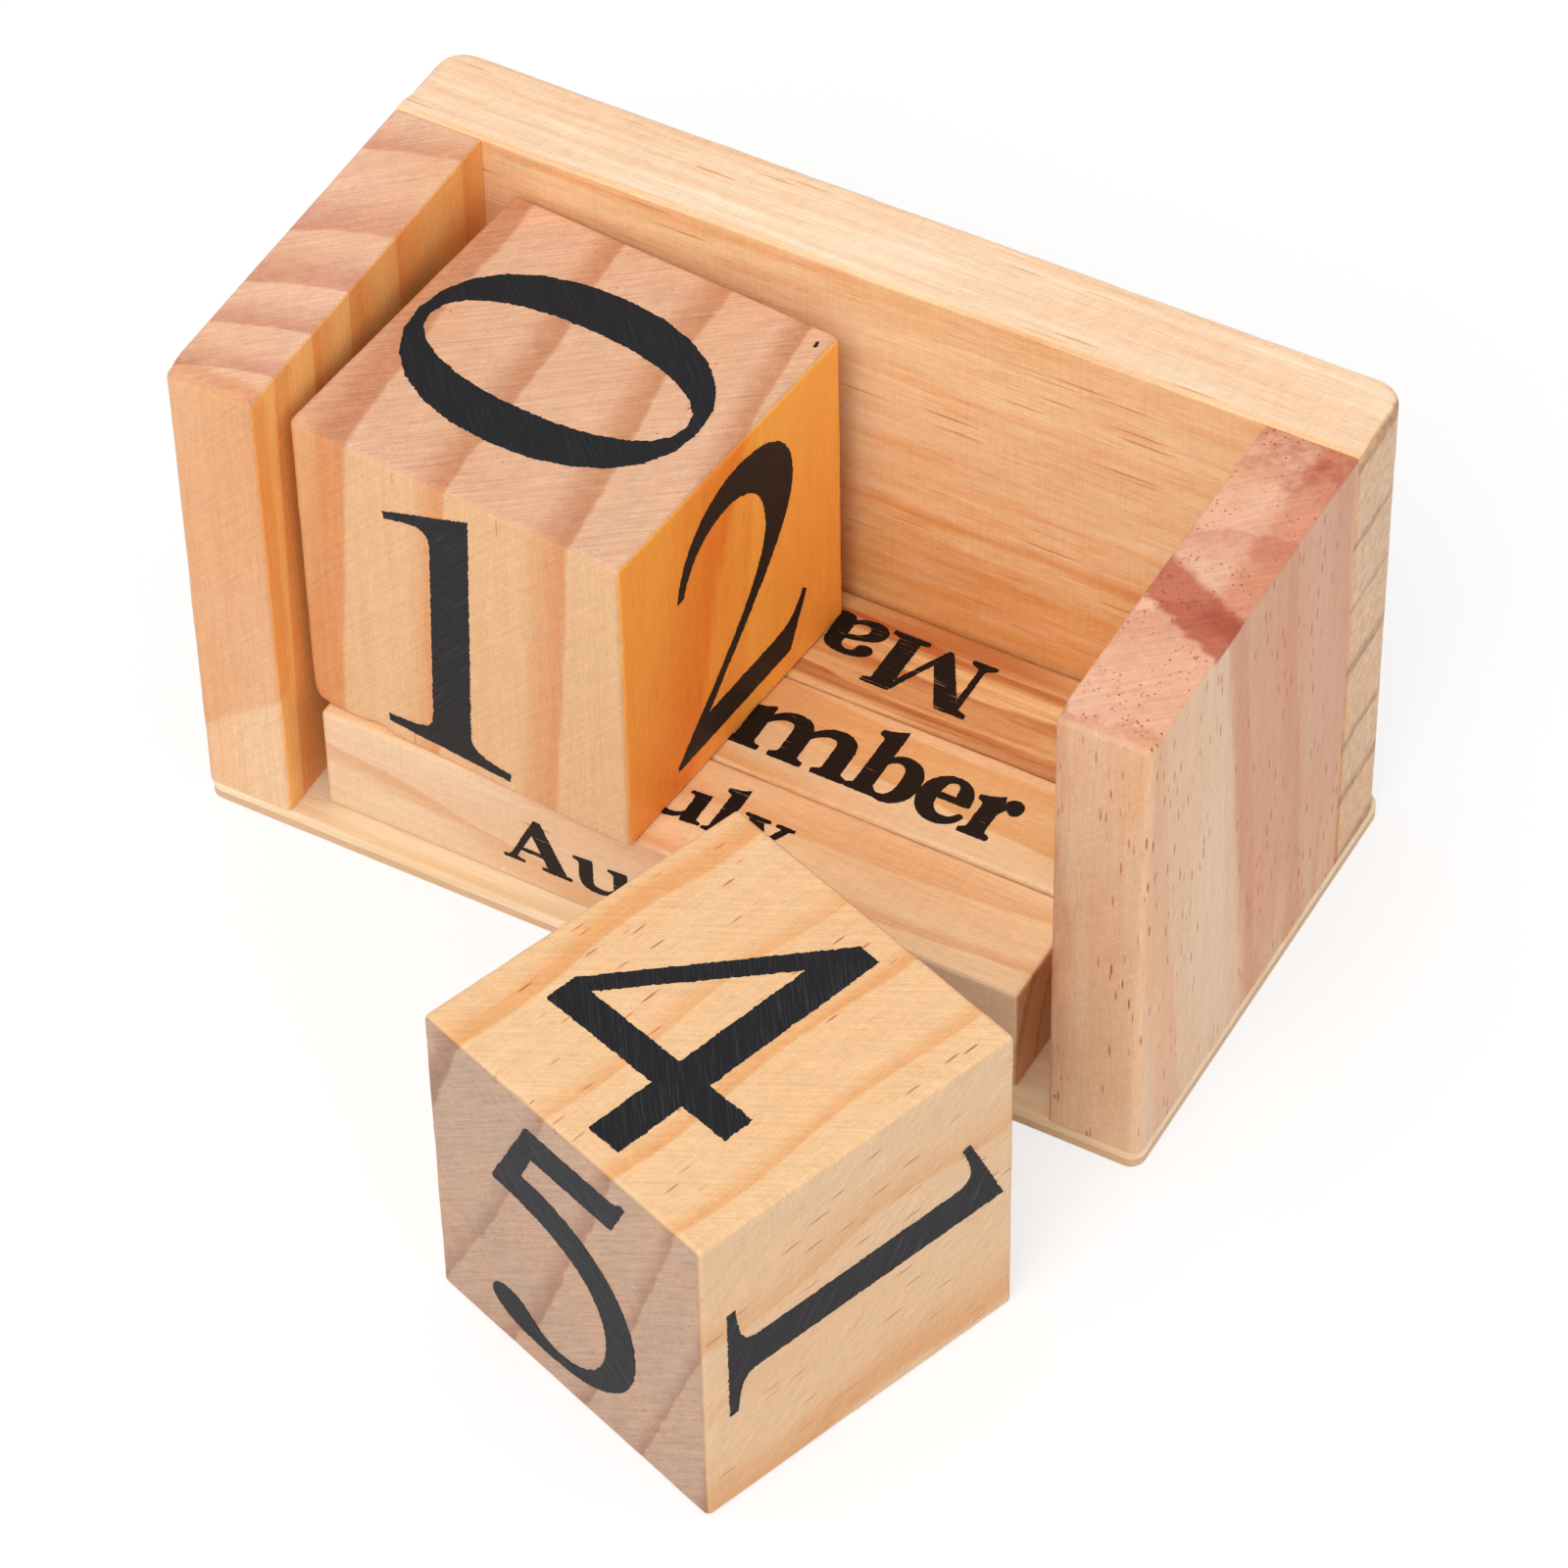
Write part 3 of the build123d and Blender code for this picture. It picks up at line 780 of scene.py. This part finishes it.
def printed_outlines(parts, ragged, step, weight, seed):
    """The drawn outlines as they print: spread outward by weight, and with ragged edges."""
    teeth = np.random.default_rng(seed)
    solids = []
    for part in parts:
        outlines = []
        for outline in part:
            points = even_points(outline, step)
            points += outward(points) * (weight if outline is part[0] else -weight)
            spread = np.column_stack([points, np.zeros(len(points))])
            slow = np.stack([ripple(spread, 2.5, seed), ripple(spread, 2.5, seed + 1)], axis=1)
            outlines.append(points + ragged * (0.4 * slow + teeth.normal(size=points.shape)))
        solids.append(outlines)
    return solids


def filled(solids):
    """Triangles that fill each outline but not its holes: flat points, and faces that look up."""
    corners, edges = [], []
    for outline in (outline for part in solids for outline in part):
        first, count = len(corners), len(outline)
        corners += [Vector(point) for point in outline.tolist()]
        edges += [(first + k, first + (k + 1) % count) for k in range(count)]
    flat, _, faces, *_ = geometry.delaunay_2d_cdt(corners, edges, [], 0, 1e-5)
    flat = np.array([tuple(point) for point in flat])
    faces = np.array(faces)
    middles = flat[faces].mean(axis=1)
    printed = np.zeros(len(faces), bool)
    for outer, *holes in solids:
        here = inside(middles, outer)
        for hole in holes:
            here &= ~inside(middles, hole)
        printed |= here
    faces = faces[printed]
    used, faces = np.unique(faces, return_inverse=True)
    faces = faces.reshape(-1, 3)
    flat = flat[used]
    a, b, c = flat[faces[:, 0]], flat[faces[:, 1]], flat[faces[:, 2]]
    flipped = (b[:, 0] - a[:, 0]) * (c[:, 1] - a[:, 1]) < (b[:, 1] - a[:, 1]) * (c[:, 0] - a[:, 0])
    faces[flipped] = faces[flipped][:, ::-1]
    return flat, faces


def ink_film(name, body, place, face, parts, ragged, step, weight, material):
    """Printed ink: a thin closed solid standing just proud of one face of a block.

    weight is how far the ink has spread past the drawn outline.
    """
    seed = sum(ord(letter) for letter in name)
    flat, faces = filled(printed_outlines(parts, ragged, step, weight, seed))
    right, up = (np.array(axis, float) for axis in FACES[face])
    out = np.cross(right, up)
    height = abs(place.half @ out)
    on_face = flat[:, :1] * right + flat[:, 1:] * up + out * height
    points = np.concatenate([on_face + out * INK_LIFT, on_face - out * INK_SINK])
    sides = {(int(f[k]), int(f[(k + 1) % 3])) for f in faces for k in range(3)}
    rim = [(i, j) for i, j in sides if (j, i) not in sides]
    count = len(flat)
    walls = [(j, i, i + count, j + count) for i, j in sorted(rim)]
    solid = [*faces.tolist(), *(faces[:, ::-1] + count).tolist(), *walls]
    piece = mesh_object(name, place.to_world(points), solid)
    put_attribute(piece, "sheet", np.tile(np.column_stack([flat, np.full(count, seed % 97)]), (2, 1)))
    piece.data.materials.append(material)
    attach(piece, body)


def ink(name, tone, scratch, gaps, slant):
    """Screen-printed ink. scratch is the strength of its scratches, gaps the share of missing streaks.

    slant is the direction of the scratches, in degrees.
    """
    tree = Tree(name)
    sheet = tree.attribute("sheet", "Vector")
    tilted = tree.node("ShaderNodeVectorRotate", {"Vector": sheet, "Angle": math.radians(slant)}).outputs[0]
    lines = tree.noise(tilted, (0.15, 5.0, 1.0), 3.0, 0.7)
    scratches = tree.step(lines, 0.48, 0.72)
    level = tree.maths("MULTIPLY_ADD", scratches, scratch, 1.0)
    base = tree.mix(1.0, colour(*tone), tree.grey(level), "MULTIPLY")
    mottle = tree.noise(sheet, (2.2, 2.2, 2.2), 3.0)
    streaks = tree.noise(sheet, (0.12, 3.6, 1.0), 4.0, 0.6)
    missing = tree.step(streaks, 0.70 - gaps, 0.74 - gaps)
    shader = tree.node("ShaderNodeBsdfPrincipled", {
        "Base Color": base, "Roughness": tree.centred(mottle, 0.2, 0.55),
        "Specular IOR Level": tree.maths("MULTIPLY_ADD", scratches, 0.15 * scratch, 0.2),
        "Normal": tree.bump(lines, 0.4, 0.05 * MM), "Alpha": tree.maths("SUBTRACT", 1.0, missing),
    })
    tree.node("ShaderNodeOutputMaterial", {"Surface": shader.outputs[0]})
    return tree.material


# ---------------------------------------------------------------- the tray
BASE_LOOK = Look(
    light=(248, 224, 190), dark=(238, 204, 158), end_light=(248, 224, 190), end_dark=(216, 176, 136))
BACK_LOOK = Look(
    light=(257, 227, 194), dark=(242, 186, 135), end_light=(219, 178, 138), end_dark=(160, 104, 62),
    seed=0.3, late=0.75, soft=0.18, contrast=0.4, end_boost=1.8, bands=1.3, streaks=1.5, ducts=0.45,
    duct_colour=(222, 140, 70), duct_length=14.0, duct_width=0.6, chatter=0.2,
    # the first multiplying colour on the next line is painted warm light on the front face, and the second
    # painted shade there, strongest at its foot
    tone_and_light=(258, 248, 230), patch_and_shade=(236, 200, 152))
LEFT_LOOK = Look(
    light=(236, 192, 148), dark=(222, 154, 106), end_light=(239, 187, 153), end_dark=(211, 143, 116),
    seed=0.7, late=0.3, soft=0.65, contrast=0.85, ducts=0.01, saw=0.7, tone_and_light=(246, 228, 212),
    patch_and_shade=(282, 262, 206))
RIGHT_LOOK = Look(
    light=(229, 194, 160), dark=(216, 152, 112), end_light=(236, 180, 149), end_dark=(208, 128, 102),
    seed=0.2, late=0.5, soft=0.4, contrast=0.45, wander=0.3, fray=0.4, ducts=0.65, duct_colour=(164, 44, 16),
    duct_length=3.8, duct_width=0.6, saw=0.6, tone_and_light=(238, 208, 196), patch_and_shade=(214, 160, 144))


def back_rings(x, y, z):
    """The back board's rings are layers that fall a little to the right and rise towards the rear."""
    return ring_count(29.6 - z - 0.012 * x + 0.12 * y, (1.4, 12, 20.7, 30.3, 41.3, 49.5))


def wall_face_painted_light(x, y, z):
    """The back board's front face has a warmer tone of its own: painted light, standing in for the warm light
    inside the tray.
    """
    return WHOLE * smoothstep(-4.5, -5.5, y)


def wall_foot_painted_shade(x, y, z):
    """The back board's front face is deeper towards its foot, and a little deeper all over: painted shade,
    strongest in the bottom of the tray.
    """
    return (0.335 + 0.42 * smoothstep(14, -22, z)) * smoothstep(-4.5, -5.5, y)


tray_corners = {(sx, sy): PLY_CORNER for sx in (-1, 1) for sy in (-1, 1)}
wooden_block(
    "base_board", "tray", Shape(PLY_RIM, corner=tray_corners, step=1.6, seed=3), X,
    plywood("base_plywood", BASE_LOOK))
# the back board's front face carries painted light, and painted shade towards its foot
wooden_block(
    "back_board", "tray",
    Shape(BACK_RIM, rim_front=0.2, foot=TIGHT, step=1.3, seed=4,
          corner={(-1, -1): TIGHT, (1, -1): TIGHT, (-1, 1): BACK_CORNER, (1, 1): BACK_CORNER}),
    X, pine("back_pine", BACK_LOOK), rings=back_rings, tone_and_light=wall_face_painted_light, patch_and_shade=wall_foot_painted_shade)


def side_shape(outer, seed):
    """A side board, rounded most along its outer front edge. outer is the sign of x on its outer side."""
    corner = {(outer, -1): SIDE_ROUNDING, (-outer, -1): 0.5, (-1, 1): TIGHT, (1, 1): TIGHT}
    return Shape(0.35, rim_front=SIDE_ROUNDING, foot=TIGHT, step=1.0, seed=seed, corner=corner)


def left_side_rings(x, y, z):
    """The left side board's rings bend across its top."""
    return ring_count(33.85 - y + 0.33 * x - 0.015 * x * x + 0.03 * z, (17.5, 31.5, 40, 47, 54))


def pale_arch(x, y, z):
    """The left side board's front is warmer above a slanting arch near its foot."""
    return smoothstep(-1.5, 1.5, z + 17 - 0.8 * x) * smoothstep(-19.0, -21.0, y)


wooden_block(
    "left_side", "tray",
    side_shape(-1, 5), Z, pine("left_side_pine", LEFT_LOOK),
    rings=left_side_rings, tone_and_light=pale_arch, patch_and_shade=lambda x, y, z: WHOLE * smoothstep(5.0, 5.15, x))


def pink_heart(x, y, z):
    """The right side board is pink behind a slanting line on its outer face, and less so near its foot."""
    boundary = 15.9 + 0.113 * (29.6 - z)
    strength = 1 - 0.4 * smoothstep(2, -28, z)
    return smoothstep(-1.5, 2.5, y + 22.45 - boundary) * smoothstep(-2.0, 4.5, x) * strength


def red_patch(x, y, z):
    """The right side board's top has a red-brown patch and a red rear end, and its front a warm edge."""
    along = y + 3.3 + 0.5 * x
    patch = smoothstep(-3.8, -2.6, along) * smoothstep(4.6, 1.0, along)
    rear = 0.5 * smoothstep(8.0, 22.0, y)
    edge = 0.42 * smoothstep(-20.8, -21.8, y) * smoothstep(2.0, -6.0, x)
    return np.maximum(np.maximum(patch, rear) * smoothstep(28.9, 29.5, z), edge)


wooden_block(
    "right_side", "tray",
    side_shape(1, 6), Z, pine("right_side_pine", RIGHT_LOOK),
    rings=lambda x, y, z: ring_count(y + 22.45 + 0.1 * z - 0.3 * x, (-8, 5, 22, 33, 44.7)),
    tone_and_light=pink_heart, patch_and_shade=red_patch)

# ---------------------------------------------------------------- month bars
BAR_INK = ink("bar_ink", (26, 18, 15), 0.4, 0.03, -50)
WORN_INK = ink("worn_bar_ink", (26, 18, 15), 0.4, 0.08, -50)
WHITE = (255, 255, 255)             # as either multiplying colour it changes nothing
BAR_ENDS = {"end_light": (224, 164, 118), "end_dark": (190, 122, 80)}
BAR_WOODS = {
    "back": Look(
        light=(244, 202, 142), dark=(178, 84, 22), **BAR_ENDS, tint=(186, 92, 28), tint_share=0.8,
        tone_and_light=WHITE, seed=0.15, late=0.4, soft=0.5, contrast=0.6, wander=0.5, fray=0.8, bands=1.5,
        ducts=0.04),
    "middle": Look(
        light=(243, 209, 163), dark=(230, 168, 99), **BAR_ENDS, tone_and_light=WHITE, seed=0.55, late=0.55, soft=0.4,
        contrast=0.7, wander=0.3, fray=0.3, ducts=0.04),
    "front": Look(
        light=(254, 218, 171), dark=(237, 178, 122), end_light=(216, 158, 116), end_dark=(176, 114, 78),
        tone_and_light=(240, 240, 250), seed=0.85, late=0.6, soft=0.35, contrast=0.7, wander=0.3, fray=0.3,
        ducts=0.04),
}
BAR_RINGS = {
    "back": lambda x, y, z: ring_count(y + 0.3 * z + 0.02 * x + 20, np.arange(0, 40, 4.4)),
    "middle": lambda x, y, z: ring_count(np.hypot(y - 4 + 0.07 * x, 0.8 * z + 7), np.arange(0, 40, 3.3)),
    "front": lambda x, y, z: ring_count(np.hypot(y - 6 - 0.08 * x, 0.7 * z + 6), np.arange(0, 40, 4.2)),
}
BAR_SPREAD = {"back": 0.12, "middle": 0.21, "front": 0.09}      # how far the words' ink has spread
WORN_WORDS = ("March", "August")
# Each bar's words: face, word, its two ends, x-height, capital height and baseline, in millimetres.
BAR_WORDS = {
    "back": (
        ("top_from_back", "March", -18.2, 22.8, 5.2, 7.9, -4.0),
        ("front", "January", -24, 24, 5.4, 7.6, -3.4),
        ("back", "April", -16, 16, 5.4, 7.6, -3.4),
        ("bottom", "February", -27, 27, 5.4, 7.6, -3.4)),
    "middle": (
        ("top", "November", -30.3, 29.7, 6.0, 8.6, -3.8),
        ("front", "December", -29, 29, 5.6, 8.2, -3.8),
        ("back", "October", -24, 24, 5.6, 8.2, -3.8),
        ("bottom", "September", -31, 31, 5.4, 8.2, -3.0)),
    "front": (
        ("top", "July", -10.8, 10.6, 4.1, 6.2, -2.1),
        ("front", "August", -19.2, 18.9, 4.2, 6.6, -3.5),
        ("back", "June", -12, 12, 4.2, 6.4, -2.6),
        ("bottom", "May", -11, 11, 4.2, 6.4, -2.6)),
}
for number, which in enumerate(BAR_WOODS):
    body = which + "_bar"
    bar = wooden_block(
        "month_bar_" + which, body, Shape(BAR_ROUNDING, step=0.8, seed=10 + number), X,
        pine(f"month_bar_{which}_pine", BAR_WOODS[which]), rings=BAR_RINGS[which],
        tone_and_light=lambda x, y, z: WHOLE * smoothstep(-6.4, -6.8, y))
    for face, text, *measures in BAR_WORDS[which]:
        outlines = word_parts(text, *measures)
        ink_film("word_" + text, body, bar, face, outlines, WORD_RAGGED, WORD_STEP, BAR_SPREAD[which],
                 WORN_INK if text in WORN_WORDS else BAR_INK)

# ---------------------------------------------------------------- day cubes
CUBE_INKS = {
    "left": ink("left_cube_ink", (27, 27, 30), 0.7, 0.0, -50),
    "right": ink("right_cube_ink", (26, 26, 30), 1.6, 0.0, 36),
}
LEFT_CUBE_LOOK = Look(
    light=(228, 181, 132), dark=(219, 149, 93), end_light=(229, 178, 143), end_dark=(205, 140, 101),
    seed=0.4, late=0.55, soft=0.35, ducts=0.02, duct_colour=(168, 82, 40), duct_length=6.0, saw=0.85,
    # the first multiplying colour on the next line is painted orange bounce light on the cube's right face
    tone_and_light=(300, 273, 171), patch_and_shade=(250, 236, 222), tint_share=0.15)
RIGHT_CUBE_LOOK = Look(
    light=(241, 196, 146), dark=(234, 170, 108), end_light=(187, 151, 125), end_dark=(160, 114, 88),
    seed=0.9, late=0.66, soft=0.3, fray=0.12, ducts=0.3, duct_colour=(182, 80, 36), duct_length=6.0,
    # the first multiplying colour on the next line is painted shade on the cube's right face
    duct_width=0.55, saw=0.9, tone_and_light=(240, 244, 253), tint_share=0.15)


def left_cube_rings(x, y, z):
    """The left cube's rings stand upright, and close up a little towards its rear."""
    return ring_count(x + 20 + 0.141 * y + 0.0028 * x * y + 0.065 * (20 - z), (4.8, 16.9, 30.5, 41))


def right_face_painted_light(x, y, z):
    """The right face of either cube has a tone of its own: painted light. The left cube's is painted warmer
    and lighter for the orange bounce light inside the tray; the right cube's is painted a little darker for
    the shade on that side.
    """
    return WHOLE * smoothstep(19.8, 20.0, x)


def left_cube_deep(x, y, z):
    """The left cube's right face is deeper towards its front."""
    boundary = 2.5 + 0.11 * z
    return right_face_painted_light(x, y, z) * smoothstep(boundary + 0.8, boundary - 0.8, y)


def right_cube_rings(x, y, z):
    """The right cube's rings curve about a line far off to its upper left."""
    wave = 0.4 * np.sin(0.21 * y + 1.0) + 0.031 * y
    return ring_count(np.hypot(x + 177, z - 73) + wave, (170.3, 182, 191.7, 200.6, 208))


left_shape = Shape(CUBE_ROUNDING, corner={(-1, -1): 0.9}, step=0.7, seed=21, nicks=(
    ((-11.5, -20, -20), (1.6, 0.9, 0.9), 0.55),
    ((20, -20, 9.6), (0.6, 0.6, 0.8), 0.4),
    ((9.4, -20, 9.8), (0.8, 0.8, 0.8), 0.12),
    ((5.2, -20, -4.8), (0.7, 0.7, 0.7), 0.1),
    ((-20, -20, -20), (1.6, 1.6, 1.8), 0.4)))
right_shape = Shape(CUBE_ROUNDING, step=0.7, seed=22, nicks=(
    ((20, -3, 20), (0.8, 0.8, 0.8), 0.25),
    ((-6, -20, 20), (1.2, 0.7, 0.7), 0.25)))
# Each cube: its shape, the axis of its grain and how that leans, its look, rings and patch mask, and its
# digits.
# A digit has its face, its shift across and up the face in millimetres, and its turn in degrees.
CUBES = {
    "left": (left_shape, Z, (0, 0), LEFT_CUBE_LOOK, left_cube_rings, left_cube_deep, (
        ("top_from_left", "0", (0.5, 1.3), 0.0), ("front", "1", (-1.25, -0.4), -2.5),
        ("right", "2", (0, 0), 0.0), ("back", "6", (0, 0), 1.0), ("left", "7", (0, 0), -1.0),
        ("bottom", "8", (0, 0), 0.0))),
    "right": (right_shape, Y, (-0.03, 0.09), RIGHT_CUBE_LOOK, right_cube_rings, None, (
        ("top", "4", (0, 0), 2.0), ("front", "5", (0, 0), 0.0), ("right_lying", "1", (-0.5, 0.9), 0.0),
        ("back", "2", (0, 0), 0.0), ("left", "3", (0, 0), 1.0), ("bottom", "0", (0, 0), 0.0))),
}
for which, (shape, grain, lean, look, rings, patch_and_shade, prints) in CUBES.items():
    body = which + "_cube"
    # each cube's right face gets painted light or painted shade through the first mask
    cube = wooden_block(
        which + "_day_cube", body, shape, grain, pine(body + "_pine", look), rings=rings,
        tone_and_light=right_face_painted_light, patch_and_shade=patch_and_shade, lean=lean)
    for face, digit, shift, turn in prints:
        outlines = digit_parts(digit, shift, turn)
        if face == "top_from_left":
            outlines.append([oval(1.0, 0.4, 2.0) + INK_SPECK])
        ink_film(f"{body}_digit_{digit}", body, cube, face, outlines, DIGIT_RAGGED, DIGIT_STEP, 0,
                 CUBE_INKS[which])

# ---------------------------------------------------------------- floor, light and camera
FLOOR_HALF = 3.0            # metres
FLOOR_GLOW = 0.6            # how much of the floor, as the camera sees it, is its own even white
AIR_LIGHT = 0.64            # strength of the white air as a lamp
AIR_SEEN = 1.0              # and as a background
LAMPS = (                   # name, azimuth and elevation in degrees, distance and size in metres, watts
    ("key_light", 8, 50, 1.6, 1.0, 11.0),
    ("side_light", 62, 30, 1.8, 1.2, 1.5),
    ("top_light", -60, 80, 1.6, 1.2, 2.5),
)
AIM = Vector((4.17, -9.07, 13.53)) * MM
AZIMUTH, ELEVATION, ROLL = (math.radians(angle) for angle in (29.918, 46.902, -1.295))
DISTANCE = 0.7108
LENS = 157.94


def toward(azimuth, elevation):
    """The unit vector from the object to a place round it. Azimuth 0 is in front and 90 to the right."""
    level = math.cos(elevation)
    return Vector((math.sin(azimuth) * level, -math.cos(azimuth) * level, math.sin(elevation)))


def soft_light(name, azimuth, elevation, distance, size, watts):
    """A round lamp that faces the object."""
    data = bpy.data.lights.new(name, "AREA")
    data.shape = "DISK"
    data.size = size
    data.energy = watts
    lamp = bpy.data.objects.new(name, data)
    bpy.context.scene.collection.objects.link(lamp)
    back = toward(math.radians(azimuth), math.radians(elevation))
    lamp.location = AIM + back * distance
    lamp.rotation_mode = "QUATERNION"
    lamp.rotation_quaternion = back.to_track_quat("Z", "Y")


def studio():
    """A white floor and white air, and the lamps."""
    corners = [(x * FLOOR_HALF, y * FLOOR_HALF, 0) for x, y in ((-1, -1), (1, -1), (1, 1), (-1, 1))]
    floor = mesh_object("studio_floor", corners, [(0, 1, 2, 3)])
    tree = Tree("studio_floor_white")
    paper = tree.node("ShaderNodeBsdfDiffuse", {"Color": (0.96, 0.96, 0.96, 1)})
    glow = tree.node("ShaderNodeEmission", {"Color": (1, 1, 1, 1), "Strength": 1.05})
    seen = tree.maths("MULTIPLY", tree.node("ShaderNodeLightPath").outputs["Is Camera Ray"], FLOOR_GLOW)
    surface = tree.node("ShaderNodeMixShader", (seen, paper.outputs[0], glow.outputs[0]))
    tree.node("ShaderNodeOutputMaterial", {"Surface": surface.outputs[0]})
    floor.data.materials.append(tree.material)
    world = bpy.data.worlds.new("studio_air")
    world.use_nodes = True
    air = world.node_tree
    background = air.nodes["Background"]
    background.inputs["Color"].default_value = (1, 1, 1, 1)
    seen = air.nodes.new("ShaderNodeMapRange")
    seen.inputs["To Min"].default_value = AIR_LIGHT
    seen.inputs["To Max"].default_value = AIR_SEEN
    air.links.new(air.nodes.new("ShaderNodeLightPath").outputs["Is Camera Ray"], seen.inputs["Value"])
    air.links.new(seen.outputs[0], background.inputs["Strength"])
    bpy.context.scene.world = world
    for lamp in LAMPS:
        soft_light(*lamp)


def camera():
    """The camera, looking back at AIM and rolled a little."""
    data = bpy.data.cameras.new("camera")
    data.lens = LENS
    data.sensor_width = 36
    data.clip_start = 0.05
    eye = bpy.data.objects.new("camera", data)
    bpy.context.scene.collection.objects.link(eye)
    back = toward(AZIMUTH, ELEVATION)
    level = Vector((0, 0, 1)).cross(back).normalized()
    upward = back.cross(level)
    right = math.cos(ROLL) * level + math.sin(ROLL) * upward
    up = math.cos(ROLL) * upward - math.sin(ROLL) * level
    turn = Matrix((right, up, back)).transposed()
    eye.matrix_world = Matrix.Translation(AIM + back * DISTANCE) @ turn.to_4x4()
    bpy.context.scene.camera = eye


studio()
camera()
bpy.context.scene.view_settings.view_transform = "Standard"
